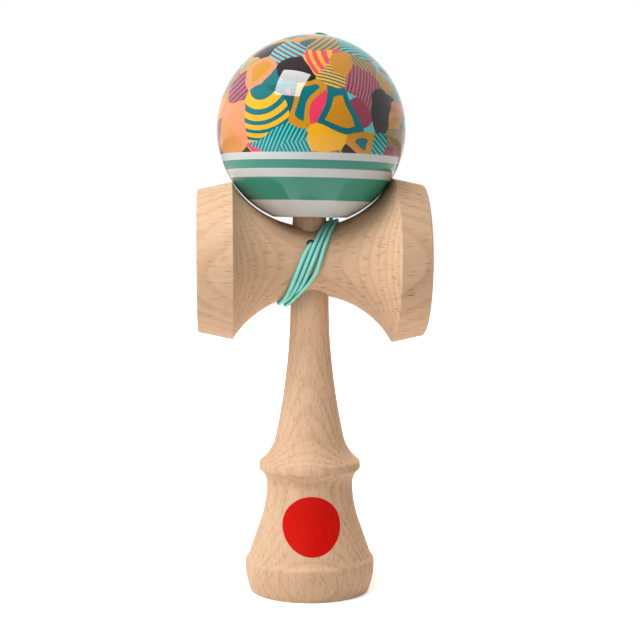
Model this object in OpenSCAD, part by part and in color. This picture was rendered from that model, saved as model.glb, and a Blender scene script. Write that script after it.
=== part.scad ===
// Kendama on its base cup, with the ball on the spike and the string wound round the cup piece.
// Millimetres, +Z up. The origin is the middle of the base cup's foot, on the ken's axis.
// +X points out of the big cup, -Y is the front.

/* [Ken] */
// Length of the ken, from the floor to the spike's tip
ken_h = 156.5; // [152:0.5:157.5]
// Largest radius of the band round the base cup
band_r = 21.05; // [20:0.05:23]
// Height of the band's widest place
band_z = 8.6; // [7:0.1:9.5]
// Radius of the band's bulge, seen from the side
band_curve = 22; // [18:0.5:40]
// Height of the sharp edge on top of the band
band_edge_z = 10.3; // [9.8:0.1:11.5]
// Rounding of the shoulder above that edge
shoulder_curve = 4.6; // [4:0.1:6]
// Tilt of the shoulder where it leaves the edge, in degrees
shoulder_tilt = 30; // [15:1:45]
// Opening of the base cup
base_cup_d = 33.6; // [28:0.1:36]
// Radius of the base cup's hollow
base_dish_curve = 25; // [22:0.5:29]
// Radius of the grip, where it is narrowest under the ring
grip_r = 14; // [12.5:0.1:15]
// Height of that narrow place
grip_z = 35.2; // [34:0.1:36.5]
// Slope of the flare under the grip, in degrees from upright
flare_angle = 19; // [14:0.5:22]
// Radius of the arc between the flare and the grip
flare_curve = 38; // [30:1:45]
// Angle of the faint crease where that arc runs into the flare
flare_crease = 1.5; // [1:0.5:4]
// Largest radius of the ring
ring_r = 16.5; // [16.2:0.1:18]
// Height of the ring's middle
ring_z = 40.9; // [40.5:0.1:41.3]
// Radius of the ring's bulge, seen from the side
ring_curve = 9; // [8.6:0.1:12]
// Radius of the cove under the ring
ring_cove = 4.8; // [4.5:0.1:5.5]
// Height where the neck above the ring runs into the shaft
neck_z = 50.6; // [48:0.1:53]
// Radius of the hollow neck above the ring
neck_curve = 13.4; // [12:0.1:15]
// Radius of the long hollow of the shaft
shaft_curve = 220; // [180:5:300]
// Radius of the shaft where it enters the cup piece
tenon_low_r = 6.2; // [5.8:0.05:6.4]
// Radius of the spike where it leaves the cup piece
tenon_top_r = 5.6; // [5:0.05:5.7]
// Radius of the spike where its point begins
point_r = 3.3; // [2.5:0.1:4]
// Length of the spike's point
point_h = 6; // [4:0.5:9]
// Rounding of the spike's tip
tip_r = 1.3; // [0.8:0.1:2]

/* [Cup piece] */
// Height of the cup piece's axis
sarado_z = 107.7; // [105:0.1:110]
// Diameter of the waist
waist_d = 22.2; // [21.6:0.1:24]
// Radius of the saddle that the ball rests over
saddle_curve = 30.1; // [29:0.1:31]
// How far the waist lies towards the big cup
waist_shift = 0.55; // [0:0.05:1]
// Diameter of the small cup's sharp edge
small_edge_d = 50.8; // [49:0.1:52]
// Distance of the small cup's rim from the ken's axis
small_reach = 36.2; // [34:0.1:38]
// Rim diameter of the small cup
small_rim_d = 46.2; // [44:0.1:48]
// Diameter of the big cup's sharp edge
big_edge_d = 53.3; // [52:0.1:54.5]
// Distance of the big cup's rim from the ken's axis
big_reach = 36.9; // [35:0.1:39]
// Rim diameter of the big cup
big_rim_d = 49.2; // [47:0.1:51]
// Width of the lip round every cup
lip_w = 2.3; // [1.5:0.1:3.5]
// Rounding of the lip's outer corner
lip_round = 0.7; // [0.3:0.1:1.2]
// Radius of the hollows of the small and the big cup
dish_curve = 28; // [26:0.5:29.5]
// Diameter of the string hole in the front of the waist
sarado_hole_d = 3; // [2.4:0.1:3.6]
// Height of that hole above the cup piece's axis
sarado_hole_rise = 6.1; // [5:0.1:7]
// Gap between the ken's taper and the cup piece
taper_gap = 0.05; // [0.02:0.01:0.15]

/* [Ball] */
// Diameter of the ball
ball_d = 60.8; // [58:0.1:62]
// Diameter of the spike hole past its bevel
hole_d = 19.5; // [19.2:0.1:20.5]
// Outer diameter of the bevel at the hole's mouth
mouth_d = 23.6; // [21.3:0.1:24]
// Straight depth of the spike hole from its mouth
hole_depth = 43; // [42:0.5:46]
// Angle of the hole's drilled end, in degrees
hole_point_angle = 118; // [100:1:140]
// Diameter of the string bore in the ball's top
cord_bore_d = 3.4; // [2.4:0.1:4]
// Diameter of the sink round that bore
cord_sink_d = 6; // [5:0.1:8]
// Gap between the ball and the edges that it rests on
seat_gap = 0.22; // [0.2:0.01:0.5]
// Lean of the ball towards the big cup on the loose spike, in degrees
ball_lean = 0.75; // [0:0.05:1.2]

/* [String] */
// Diameter of the string
cord_d = 1.45; // [1:0.05:1.5]
// Least gap between one turn and the next
turn_gap = 0.45; // [0.42:0.01:0.6]
// Gap between the string and the wood of its own body
cord_gap = 0.1; // [0.08:0.01:0.2]
// Gap between the string and the ball
ball_gap = 0.35; // [0.3:0.05:0.8]
// Diameter of the string bore through the ken
ken_bore_d = 2.4; // [1.8:0.1:3]
// Diameter of the knot in the ken
anchor_knot_d = 3.6; // [3:0.1:3.8]
// Diameter of the pocket for that knot
knot_pocket_d = 4.4; // [4.2:0.1:5]
// Diameter of the bead in the ball
bead_d = 7.5; // [6:0.1:8]
// Diameter of the bead's bore
bead_bore_d = 2; // [1.8:0.1:2.6]
// Diameter of the knot under the bead
bead_knot_d = 3; // [2.6:0.1:3.2]

/* [Hidden] */
$fn = 96;
// Overrun of a cut past the face it opens
over = 1;

// Ken outline, from the floor up
band_mid_r = band_r - band_curve;
band_edge_r = band_mid_r + sqrt(pow(band_curve, 2) - pow(band_edge_z - band_z, 2));
shoulder_mid = [band_edge_r - shoulder_curve * cos(shoulder_tilt),
                band_edge_z - shoulder_curve * sin(shoulder_tilt)];
crease_r = grip_r + flare_curve * (1 - cos(flare_angle + flare_crease));
crease_z = grip_z - flare_curve * sin(flare_angle + flare_crease);
flare_low_r = crease_r + (crease_z - band_z) * tan(flare_angle);
// End of the flare's straight side, inside the arc that cuts it
flare_end = [crease_r, crease_z] + flare_curve * sin(flare_crease) * [-sin(flare_angle), cos(flare_angle)];
// Share of the ring's bulge that shapes the neck above it
ring_share = 0.75;
ring_cut_z = ring_z + ring_curve * ring_share;
tenon_z = sarado_z - waist_d / 2;
spike_z = sarado_z + waist_d / 2;
shaft_mid_r = tenon_low_r + shaft_curve;
neck_angle = asin((tenon_z - neck_z) / shaft_curve);
neck_r = shaft_mid_r - shaft_curve * cos(neck_angle);
neck_mid = [neck_r + neck_curve * cos(neck_angle), neck_z + neck_curve * sin(neck_angle)];
taper_share = (tenon_low_r - tenon_top_r) / (spike_z - tenon_z);

// Cup piece
saddle_mid_r = waist_d / 2 + saddle_curve;
function saddle_r(x) = saddle_mid_r - sqrt(pow(saddle_curve, 2) - pow(x - waist_shift, 2));
function saddle_reach(r) = sqrt(pow(saddle_curve, 2) - pow(saddle_mid_r - r, 2));
small_edge = saddle_reach(small_edge_d / 2) - waist_shift;
big_edge = saddle_reach(big_edge_d / 2) + waist_shift;

// Ball, in its own frame with the middle at 0
ball_r = ball_d / 2;
hole_r = hole_d / 2;
mouth_r = mouth_d / 2;
mouth_z = -sqrt(pow(ball_r, 2) - pow(mouth_r, 2));
hole_end_z = mouth_z + hole_depth;
hole_point_h = hole_r / tan(hole_point_angle / 2);
sink_h = (cord_sink_d - cord_bore_d) / 2;
bead_z = hole_end_z + hole_point_h - (bead_d / 2 + ball_gap) / sin(hole_point_angle / 2);
bead_knot_z = bead_z - (bead_d + bead_knot_d) / 2 - cord_gap;
tail_low_z = bead_knot_z + bead_knot_d / 2 + cord_gap;
tail_top_z = ball_r - sink_h;
// Height of the ball's middle above the cup piece's axis: it rests on the cups' sharp edges, or, if it
// is small enough to sink between them, with its mouth on the saddle
lean_shift = saddle_mid_r * sin(ball_lean);
function rest_rise(edge_x, edge_r) = edge_r + sqrt(max(0, pow(ball_r + seat_gap, 2) - pow(edge_x, 2)));
ball_rise = max(rest_rise(small_edge + lean_shift, small_edge_d / 2),
                rest_rise(big_edge - lean_shift, big_edge_d / 2),
                saddle_r(-mouth_r) - mouth_z + seat_gap);

// String on the waist: a pass runs down the front, under the waist left of the shaft, up the
// back and over the top right of the spike. Angles are about the cup piece's axis, 0 at the front.
cord_r = cord_d / 2;
turn_pitch = cord_d + turn_gap;
hole_z = sarado_z + sarado_hole_rise;
knot_y = tenon_top_r - anchor_knot_d / 2;
first_angle = 0;
last_angle = -1260;
ring_step = 15;
front_mid = 0.6;
// Sharpness of the turn-round of a pass at the top and the bottom, as a share
turn_share = 0.85;
// Turn counts, from the middle of the winding, of the inmost pass at the top and at the bottom
top_count = -0.75;
low_count = 1.9;
top_x = tenon_top_r + cord_gap + cord_r - top_count * turn_pitch;
low_x = -tenon_low_r - cord_gap - cord_r - low_count * turn_pitch;
function wave(a) = asin(turn_share * sin(a)) / asin(turn_share);
function pass_x(a) = front_mid + (top_x - low_x) / 2 * wave(a)
                   + ((top_x + low_x) / 2 - front_mid) * pow(wave(a), 2);
lay_curve = saddle_curve - cord_r - cord_gap;
function lay_r(x) = saddle_mid_r - sqrt(pow(lay_curve, 2) - pow(x - waist_shift, 2));
// Slope of a pass against the waist, which sets how far apart its turns lie along X
nudge_angle = 1;
function pass_slope(a) = (pass_x(a + nudge_angle) - pass_x(a - nudge_angle))
                       / (2 * nudge_angle * PI / 180 * lay_r(pass_x(a)));
function turn_count(a) = -a / 360 - 1.5;
function cord_x(a) = pass_x(a) + turn_count(a) * turn_pitch * sqrt(1 + pow(pass_slope(a), 2));
function cord_at(a) = [cord_x(a), -lay_r(cord_x(a)) * cos(a), sarado_z + lay_r(cord_x(a)) * sin(a)];
function unit(v) = v / norm(v);
function cord_way(a) = unit(cord_at(a - nudge_angle) - cord_at(a + nudge_angle));

function curve(p, q, r, s, u) = pow(1 - u, 3) * p + 3 * u * pow(1 - u, 2) * q
                              + 3 * u * u * (1 - u) * r + pow(u, 3) * s;
bend_steps = 8;
function bend(p, pw, s, sw, reach) =
    [for (i = [1 : bend_steps]) curve(p, p + pw * reach, s - sw * reach, s, i / bend_steps)];

// Lead from the knot through the ken and the front of the cup piece, then the passes
lead_x = cord_x(first_angle) + 2 * cord_d;
lead_end = [lead_x, knot_y - anchor_knot_d / 2 - cord_gap, hole_z];
lead_exit = [lead_x, -saddle_r(lead_x) * cos(asin(sarado_hole_rise / saddle_r(lead_x))), hole_z];
lead_way = [0, -1, 0];
// Share of the lead that lies straight in the wood
lead_share = 0.95;
winding_last = cord_at(last_angle);
winding_way = cord_way(last_angle);
winding_path = concat(
    [lead_end, lead_end + lead_way * cord_d],
    [lead_end + (lead_exit - lead_end) * lead_share],
    bend(lead_end + (lead_exit - lead_end) * lead_share, lead_way, cord_at(first_angle),
         cord_way(first_angle), 2.5 * cord_d),
    [for (a = [first_angle - ring_step : -ring_step : last_angle + ring_step]) cord_at(a)],
    [winding_last, winding_last + winding_way * cord_d]);

// Riser from the winding, up behind the ball and over its top
function ball_place(p) = [p.x * cos(ball_lean) + (p.z + ball_rise) * sin(ball_lean), p.y,
                          sarado_z - p.x * sin(ball_lean) + (p.z + ball_rise) * cos(ball_lean)];
over_ball_r = ball_r + ball_gap + cord_r;
// Angle down from the ball's top and turn from +X to the back, at both ends of the run over the ball
run_low_angles = [100, 60];
run_top_angles = [11, 40];
run_steps = 16;
function run_at(u) = let (t = run_low_angles + (run_top_angles - run_low_angles) * u)
    ball_place(over_ball_r * [sin(t.x) * cos(t.y), sin(t.x) * sin(t.y), cos(t.x)]);
// Half step along the run, used to find its direction
run_nudge_share = 0.01;
function run_way(u) = unit(run_at(u + run_nudge_share) - run_at(u - run_nudge_share));
riser_start = winding_last + winding_way * cord_d;
tail_top = ball_place([0, 0, tail_top_z]);
tail_way = unit(ball_place([0, 0, 0]) - tail_top);
riser_path = concat(
    [riser_start, riser_start + winding_way * cord_d],
    bend(riser_start + winding_way * cord_d, winding_way, run_at(0), run_way(0), ball_r / 3),
    [for (i = [1 : run_steps]) run_at(i / run_steps)],
    bend(run_at(1), run_way(1), tail_top - tail_way * cord_d, tail_way, 1.5 * cord_d),
    [tail_top]);

// Tube of six sides along a path. side is a direction that the path never runs along.
tube_sides = 6;
function way(path, i) = unit(path[min(i + 1, len(path) - 1)] - path[max(i - 1, 0)]);
function tube_ring(path, i, side) =
    let (t = way(path, i), u = unit(cross(t, side)), v = cross(t, u))
    [for (k = [0 : tube_sides - 1])
        path[i] + cord_r * (cos(k * 360 / tube_sides) * u + sin(k * 360 / tube_sides) * v)];
module tube(path, side) {
    n = len(path);
    points = [for (i = [0 : n - 1]) each tube_ring(path, i, side)];
    walls = [for (i = [0 : n - 2], k = [0 : tube_sides - 1])
        let (a = i * tube_sides + k, b = i * tube_sides + (k + 1) % tube_sides)
        each [[a, b, a + tube_sides], [b, b + tube_sides, a + tube_sides]]];
    first_cap = [for (k = [1 : tube_sides - 2]) [0, k + 1, k]];
    last = (n - 1) * tube_sides;
    last_cap = [for (k = [1 : tube_sides - 2]) [last, last + k, last + k + 1]];
    polyhedron(points, concat(walls, first_cap, last_cap));
}

// Least gap of the winding to itself, over points more than half a turn apart
half_turn = 180 / ring_step;
least_gap = min([for (i = [0 : len(winding_path) - 1], j = [i + half_turn : 1 : len(winding_path) - 1])
    norm(winding_path[i] - winding_path[j])]) - cord_d;
echo(least_gap = least_gap);

// Slice of the ken's half outline with one hollow side
module cove(low_z, top_z, r, mid, hollow) {
    difference() {
        translate([0, low_z]) square([r, top_z - low_z]);
        translate(mid) circle(hollow);
    }
}

// Half outline of the ken, radius along X and height along Y
module ken_outline() {
    intersection() {
        square([band_r, grip_z]);
        translate([band_mid_r, band_z]) circle(band_curve);
        union() {
            square([band_r, band_z]);
            translate(shoulder_mid) circle(shoulder_curve);
        }
    }
    difference() {
        polygon([[0, band_z], [flare_low_r, band_z], flare_end, [band_r, grip_z], [0, grip_z]]);
        translate([grip_r + flare_curve, grip_z]) circle(flare_curve);
    }
    intersection() {
        union() {
            cove(grip_z, ring_z, ring_r, [grip_r + ring_cove, grip_z], ring_cove);
            cove(ring_z, ring_cut_z, ring_r, neck_mid, neck_curve);
        }
        union() {
            translate([0, grip_z]) square([ring_r - ring_curve, ring_cut_z - grip_z]);
            translate([ring_r - ring_curve, ring_z]) circle(ring_curve);
        }
    }
    cove(ring_cut_z, neck_z, ring_r, neck_mid, neck_curve);
    cove(neck_z, tenon_z, ring_r, [shaft_mid_r, tenon_z], shaft_curve);
    polygon([[0, tenon_z], [tenon_low_r, tenon_z], [tenon_top_r, spike_z], [point_r, ken_h - point_h],
             [tip_r, ken_h - tip_r], [0, ken_h - tip_r]]);
    intersection() {
        translate([0, ken_h - tip_r]) circle(tip_r);
        translate([0, ken_h - tip_r]) square(tip_r);
    }
}

// Ball of a cup hollow, with its opening in the plane z = 0 and the hollow above it
module dish(opening_d, hollow) {
    translate([0, 0, -sqrt(pow(hollow, 2) - pow(opening_d / 2, 2))]) rotate([90, 0, 0])
        sphere(hollow, $fn = 120);
}

module ken() {
    color([0.87, 0.72, 0.56]) difference() {
        rotate_extrude() ken_outline();
        dish(base_cup_d, base_dish_curve);
        translate([lead_x, 0, hole_z]) rotate([90, 0, 0])
            cylinder(h = ken_h, d = ken_bore_d, center = true);
        translate([lead_x, knot_y - anchor_knot_d / 2 - cord_gap, hole_z]) rotate([-90, 0, 0])
            cylinder(h = tenon_low_r, d = knot_pocket_d);
    }
}

// Half outline of the cup piece, radius along X and its axis along Y
module sarado_outline() {
    difference() {
        polygon([[0, -small_reach], [small_rim_d / 2 - lip_round, -small_reach],
                 [small_rim_d / 2, -small_reach + lip_round], [saddle_r(-small_edge), -small_edge],
                 [saddle_r(big_edge), big_edge], [big_rim_d / 2, big_reach - lip_round],
                 [big_rim_d / 2 - lip_round, big_reach], [0, big_reach]]);
        translate([saddle_mid_r, waist_shift]) circle(saddle_curve);
    }
    translate([small_rim_d / 2 - lip_round, -small_reach + lip_round]) circle(lip_round);
    translate([big_rim_d / 2 - lip_round, big_reach - lip_round]) circle(lip_round);
}

module sarado() {
    bore_h = waist_d + 2 * over;
    color([0.88, 0.74, 0.58]) difference() {
        translate([0, 0, sarado_z]) rotate([0, 90, 0]) rotate_extrude() sarado_outline();
        translate([-small_reach, 0, sarado_z]) rotate([0, 90, 0]) dish(small_rim_d - 2 * lip_w, dish_curve);
        translate([big_reach, 0, sarado_z]) rotate([0, -90, 0]) dish(big_rim_d - 2 * lip_w, dish_curve);
        translate([0, 0, tenon_z - over])
            cylinder(h = bore_h, r1 = tenon_low_r + taper_gap + over * taper_share,
                     r2 = tenon_top_r + taper_gap - over * taper_share);
        translate([lead_x, 0, hole_z]) rotate([90, 0, 0]) cylinder(h = waist_d, d = sarado_hole_d);
    }
}

module at_ball() {
    translate([0, 0, sarado_z]) rotate([0, ball_lean, 0]) translate([0, 0, ball_rise]) children();
}

module tama() {
    color([0.12, 0.5, 0.47]) at_ball() difference() {
        sphere(ball_r, $fn = 120);
        translate([0, 0, -ball_r - over]) cylinder(h = ball_r + over + mouth_z, r = mouth_r);
        translate([0, 0, mouth_z]) cylinder(h = mouth_r - hole_r, r1 = mouth_r, r2 = hole_r);
        translate([0, 0, -ball_r - over]) cylinder(h = ball_r + over + hole_end_z, r = hole_r);
        translate([0, 0, hole_end_z]) cylinder(h = hole_point_h, r1 = hole_r, r2 = 0);
        cylinder(h = ball_d, d = cord_bore_d);
        translate([0, 0, ball_r - sink_h]) cylinder(h = 2 * sink_h, d1 = cord_bore_d,
                                                    d2 = 2 * cord_sink_d - cord_bore_d);
    }
}

module bead() {
    color([0.9, 0.86, 0.78]) at_ball() translate([0, 0, bead_z]) difference() {
        sphere(d = bead_d);
        cylinder(h = bead_d + over, d = bead_bore_d, center = true);
    }
}

module anchor_knot() {
    color([0.3, 0.66, 0.6]) translate([lead_x, knot_y, hole_z]) sphere(d = anchor_knot_d);
}

module bead_knot() {
    color([0.3, 0.66, 0.6]) at_ball() translate([0, 0, bead_knot_z]) sphere(d = bead_knot_d);
}

module string_winding() {
    color([0.36, 0.72, 0.66]) tube(winding_path, [1, 0, 0]);
}

module string_riser() {
    color([0.36, 0.72, 0.66]) tube(riser_path, [sin(run_low_angles.y), -cos(run_low_angles.y), 0]);
}

module string_tail() {
    color([0.36, 0.72, 0.66]) at_ball() translate([0, 0, tail_low_z])
        cylinder(h = tail_top_z - tail_low_z, r = cord_r, $fn = 24);
}

ken();
sarado();
tama();
bead();
anchor_knot();
bead_knot();
string_winding();
string_riser();
string_tail();
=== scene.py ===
# Kendama: turned beech ken and cup piece, lacquered ball, braided string, bead and knots.
import math

import bpy
import numpy as np
from bpy.props import FloatProperty, FloatVectorProperty, PointerProperty
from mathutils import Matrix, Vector


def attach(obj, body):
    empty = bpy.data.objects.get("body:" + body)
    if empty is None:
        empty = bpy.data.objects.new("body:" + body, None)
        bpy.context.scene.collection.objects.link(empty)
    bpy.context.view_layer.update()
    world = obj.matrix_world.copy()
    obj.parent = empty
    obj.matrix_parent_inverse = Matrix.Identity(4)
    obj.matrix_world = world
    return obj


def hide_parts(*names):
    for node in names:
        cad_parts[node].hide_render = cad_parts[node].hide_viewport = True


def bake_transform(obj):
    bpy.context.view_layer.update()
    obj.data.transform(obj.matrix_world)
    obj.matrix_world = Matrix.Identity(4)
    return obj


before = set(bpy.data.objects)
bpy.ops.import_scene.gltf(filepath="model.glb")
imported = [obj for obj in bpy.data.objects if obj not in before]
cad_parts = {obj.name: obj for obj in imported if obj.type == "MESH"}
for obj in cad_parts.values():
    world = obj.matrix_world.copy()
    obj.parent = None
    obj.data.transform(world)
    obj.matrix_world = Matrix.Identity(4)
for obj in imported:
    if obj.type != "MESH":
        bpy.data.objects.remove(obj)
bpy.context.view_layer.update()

bl_info = {
    "name": "Kendama",
    "version": (1, 0, 0),
    "blender": (4, 5, 0),
    "location": "View3D > Sidebar > Kendama",
    "description": "Builds the surfaces, finishes and stage of a kendama round its packed frame",
    "category": "Object",
}

MM = 0.001
PER_METRE = 1000
TURN = 2 * math.pi
SHARP_ANGLE, NO_EDGES = 40, 180


def length(name, description, default):
    """A size in metres, from a default in millimetres."""
    return FloatProperty(name=name, description=description, default=default * MM, unit="LENGTH", precision=5)


def colour(name, description, default):
    """A colour as scene-linear red, green and blue."""
    return FloatVectorProperty(name=name, description=description, default=default, subtype="COLOR", size=3,
                               min=0, max=1)


class KendamaSizes(bpy.types.PropertyGroup):
    """Sizes that shape the pieces."""
    ken_h: length("Ken height", "From the floor to the spike's tip", 156.5)
    band_r: length("Band radius", "Largest radius of the band round the base cup", 21.05)
    base_cup_d: length("Base cup", "Opening of the base cup", 33.6)
    grip_r: length("Grip radius", "Radius of the grip where it is narrowest", 14)
    ring_r: length("Ring radius", "Largest radius of the ring", 16.5)
    tenon_low_r: length("Shaft radius", "Radius of the shaft under the cup piece", 6.2)
    tenon_top_r: length("Spike radius", "Radius of the spike over the cup piece", 5.6)
    sarado_z: length("Cup piece height", "Height of the cup piece's axis", 107.7)
    waist_d: length("Waist", "Diameter of the cup piece's waist", 22.2)
    saddle_curve: length("Saddle", "Radius of the saddle under the ball", 29.95)
    small_reach: length("Small cup reach", "Distance of the small cup's rim from the ken's axis", 36.2)
    small_rim_d: length("Small cup rim", "Rim diameter of the small cup", 46.2)
    big_reach: length("Big cup reach", "Distance of the big cup's rim from the ken's axis", 36.9)
    big_rim_d: length("Big cup rim", "Rim diameter of the big cup", 49.2)
    ball_d: length("Ball", "Diameter of the ball", 60.8)
    ball_rise: length("Ball rise", "Height of the ball's middle over the cup piece's axis", 42.03)
    ball_lean: FloatProperty(name="Ball lean", description="Lean of the ball towards the big cup",
                             default=math.radians(0.79), subtype="ANGLE")
    cord_d: length("String", "Diameter of the string", 1.45)
    bead_d: length("Bead", "Diameter of the bead in the ball", 7.5)
    disc_d: length("Disc", "Diameter of the red disc on the ken", 18.6)


class KendamaColours(bpy.types.PropertyGroup):
    """Colours of the finishes."""
    beech_pale: colour("Pale beech", "Early wood between the growth lines", (0.718, 0.478, 0.31))
    beech_dark: colour("Dark beech", "Late wood of the growth lines", (0.52, 0.29, 0.159))
    pore: colour("Pores", "Short flecks along the grain", (0.22, 0.075, 0.03))
    disc_red: colour("Disc", "Printed disc on the ken", (0.62, 0.004, 0.001))
    ball_white: colour("Ball white", "White ground of the ball", (0.61, 0.61, 0.595))
    stripe_teal: colour("Stripe", "Stripes round the lower ball", (0.035, 0.255, 0.18))
    string_pale: colour("String crests", "Raised yarns of the string", (0.34, 0.9, 0.8))
    # Painted shade: this groove colour also darkens the side of the string that faces what it lies on.
    string_dark: colour("String grooves", "Grooves between the yarns", (0.0, 0.3, 0.22))
    bead_wood: colour("Bead", "Bare wood of the bead", (0.66, 0.47, 0.3))
    floor: colour("Floor", "Floor and backdrop", (0.9, 0.9, 0.9))


def sizes():
    """The sizes as plain numbers in millimetres, angles in radians."""
    group = bpy.context.scene.kendama_sizes
    return {k: getattr(group, k) * (1 if k == "ball_lean" else PER_METRE)
            for k in KendamaSizes.__annotations__}


def colours():
    """The colours as tuples with alpha."""
    group = bpy.context.scene.kendama_colours
    return {k: (*getattr(group, k), 1.0) for k in KendamaColours.__annotations__}


# Surfaces

def grid_faces(rows, cols, close_rows, close_cols):
    """Quads of a grid of points, joined end to end where a direction is closed."""
    i = np.arange(rows if close_rows else rows - 1)[:, None]
    j = np.arange(cols if close_cols else cols - 1)[None, :]
    i2, j2 = (i + 1) % rows, (j + 1) % cols
    return np.stack([i * cols + j, i * cols + j2, i2 * cols + j2, i2 * cols + j], -1).reshape(-1, 4)


def fan_faces(pole, ring):
    """Triangles from one point to a closed ring of points."""
    return np.stack([np.full(len(ring), pole), ring, np.roll(ring, -1)], -1)


def end_fans(pole, rows, cols):
    """Triangles that close a grid's first and last rows, each on a point of its own after the grid."""
    ring = np.arange(cols)
    return np.concatenate([fan_faces(pole, ring[::-1]), fan_faces(pole + 1, (rows - 1) * cols + ring)])


def make_piece(name, points, quads, triangles=(), sharp=SHARP_ANGLE):
    """A mesh from points in millimetres, smooth but for sharp edges. The sign of its volume says which way
    the faces go round."""
    quads = np.asarray(quads, int).reshape(-1, 4)
    triangles = np.asarray(triangles, int).reshape(-1, 3)
    used, packed = np.unique(np.concatenate([quads.ravel(), triangles.ravel()]), return_inverse=True)
    points = np.asarray(points, float)[used] * MM
    quads = packed[: quads.size].reshape(-1, 4)
    triangles = packed[quads.size:].reshape(-1, 3)
    all_triangles = np.concatenate([quads[:, [0, 1, 2]], quads[:, [0, 2, 3]], triangles])
    a, b, c = (points[all_triangles[:, k]] - points.mean(0) for k in range(3))
    if np.einsum("ij,ij->i", a, np.cross(b, c)).sum() < 0:
        quads, triangles = quads[:, ::-1], triangles[:, ::-1]
    mesh = bpy.data.meshes.new(name)
    mesh.from_pydata(points.tolist(), [], quads.tolist() + triangles.tolist())
    mesh.shade_smooth()
    mesh.set_sharp_from_angle(angle=math.radians(sharp))
    piece = bpy.data.objects.new(name, mesh)
    bpy.context.scene.collection.objects.link(piece)
    return piece


def arc(middle, radius, start, end, step=0.1):
    """Points on a circle from one angle to another, in degrees."""
    count = max(3, int(abs(math.radians(end - start)) * radius / step))
    t = np.radians(np.linspace(start, end, count))
    return np.stack([middle[0] + radius * np.cos(t), middle[1] + radius * np.sin(t)], -1)


def run_lengths(path):
    """Length of a path up to each of its points."""
    return np.concatenate([[0], np.cumsum(np.linalg.norm(np.diff(path, axis=0), axis=1))])


def points_at(at, run, path):
    """Points of a path at given places of a running measure."""
    return np.stack([np.interp(at, run, v) for v in path.T], -1)


def bell_mean(path, bell, closed=False):
    """A path with each point moved to the mean of its neighbours by the weights of a bell. A closed path goes
    on at its start, an open one is turned over at its ends."""
    reach = len(bell) // 2
    before, after = path[-reach:], path[:reach]
    if not closed:
        before, after = 2 * path[0] - path[reach:0:-1], 2 * path[-1] - path[-2:-reach - 2:-1]
    padded = np.concatenate([before, path, after])
    return np.stack([np.convolve(v, bell / bell.sum(), "valid") for v in padded.T], -1)


def even_profile(corners, rounding, spacing, closed=False):
    """An outline walked at even steps, its corners eased by a bell-shaped mean, then thinned so that each
    step is one spacing long, or less where the outline turns."""
    fine, turn_step, bell_reach = 0.05, math.radians(5), 3
    corners = np.asarray(corners, float)
    if closed:
        corners = np.concatenate([corners, corners[:1]])
    run = run_lengths(corners)
    line = points_at(np.linspace(0, run[-1], int(run[-1] / fine), endpoint=not closed), run, corners)
    reach = int(bell_reach * rounding / fine) + 1
    bell = np.exp(-0.5 * (np.arange(-reach, reach + 1) * fine / rounding) ** 2)
    eased = bell_mean(line, bell, closed)
    if closed:
        eased = np.concatenate([eased, eased[:1]])
    way = np.diff(eased, axis=0)
    step = np.linalg.norm(way, axis=1)
    angle = np.unwrap(np.arctan2(way[:, 1], way[:, 0]))
    turn = np.abs(np.diff(angle, append=angle[-1]))
    gap = spacing(eased[:-1]) if callable(spacing) else spacing
    cost = np.concatenate([[0], np.cumsum(step / gap + turn / turn_step)])
    picks = np.linspace(0, cost[-1], int(cost[-1]) + 2)
    picked = points_at(picks, cost, eased)
    return picked[:-1] if closed else picked


def lathe(name, outline, segments, place, closed=False):
    """An outline of radius and height turned round an axis. An open one ends in a pole at each end."""
    t = np.arange(segments) * TURN / segments
    r, h = outline[:, :1], outline[:, 1:]
    grid = np.stack([r * np.cos(t), r * np.sin(t), np.broadcast_to(h, (len(outline), segments))], -1)
    if closed:
        return make_piece(name, place(grid.reshape(-1, 3)), grid_faces(len(outline), segments, True, True))
    rows = len(outline) - 2
    points = np.concatenate([grid[1:-1].reshape(-1, 3), [[0, 0, outline[0, 1]], [0, 0, outline[-1, 1]]]])
    fans = end_fans(rows * segments, rows, segments)
    return make_piece(name, place(points), grid_faces(rows, segments, False, True), fans)


def ease(t):
    """Smooth step from 0 to 1."""
    t = np.clip(t, 0, 1)
    return t * t * (3 - 2 * t)


# Ken

BAND_Z, BAND_CURVE, BAND_EDGE_Z = 8.6, 22, 10.3
SHOULDER_CURVE, SHOULDER_TILT = 4.6, math.radians(30)
BASE_DISH_CURVE = 25
GRIP_Z, FLARE_ANGLE, FLARE_CREASE, FLARE_CURVE = 35.2, math.radians(19), math.radians(1.5), 38
RING_Z, RING_CURVE, RING_COVE = 40.9, 9, 6.0
NECK_Z, NECK_CURVE, SHAFT_CURVE = 50.6, 13.4, 220
POINT_R, POINT_H, TIP_R = 3.3, 6, 1.3
RING_TOP_SHARE = 0.75
KEN_STEP, KEN_SPACING, KEN_SEGMENTS = 0.05, 0.55, 168
EDGE_EASE = 0.16


def circle_side(z, middle, radius, sign):
    """Side of a circle at a height, or the circle's own middle where it doesn't reach."""
    return middle[0] + sign * np.sqrt(np.maximum(0, radius ** 2 - (z - middle[1]) ** 2))


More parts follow.
